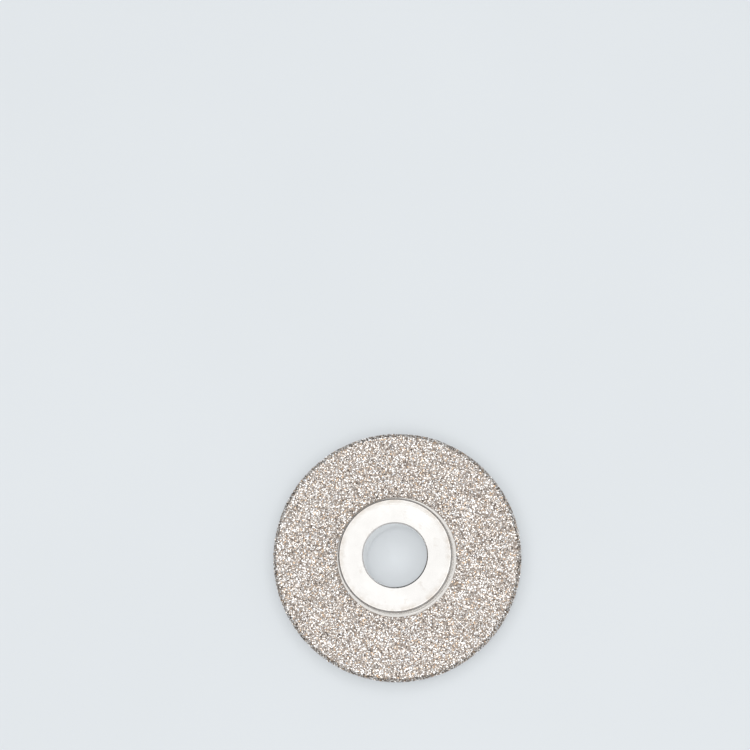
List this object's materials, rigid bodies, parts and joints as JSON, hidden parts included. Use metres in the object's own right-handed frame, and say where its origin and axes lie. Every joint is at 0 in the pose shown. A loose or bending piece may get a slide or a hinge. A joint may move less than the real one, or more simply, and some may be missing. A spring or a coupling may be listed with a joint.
{
  "type": "diamond grinding wheel",
  "caption": "Small round grinding wheel with a diamond grit face and edge, a polished front boss, a raised back hub and a central bore.",
  "frame": {"origin": "centre of the back hub's flat face, on the bore axis", "axes": "+Z along the bore, from the back hub towards the boss and the diamond face; X and Y are any two radii at right angles"},
  "size_m": [0.05, 0.05, 0.0107],
  "materials": {
    "polished_steel": "turned and polished bright steel, fine lathe marks and light handling scratches",
    "nickel_bond": "matte electroplated nickel, warm grey, lumpy round the crystals",
    "diamond_grit": "faceted synthetic diamond crystals, clear to warm brown, bright sparkle"
  },
  "bodies": {
    "root": {"steel_core": "polished_steel", "nickel_bond": "nickel_bond", "diamond_grit_face": "diamond_grit", "diamond_grit_bevel": "diamond_grit", "diamond_grit_rim": "diamond_grit"}
  },
  "joints": []
}
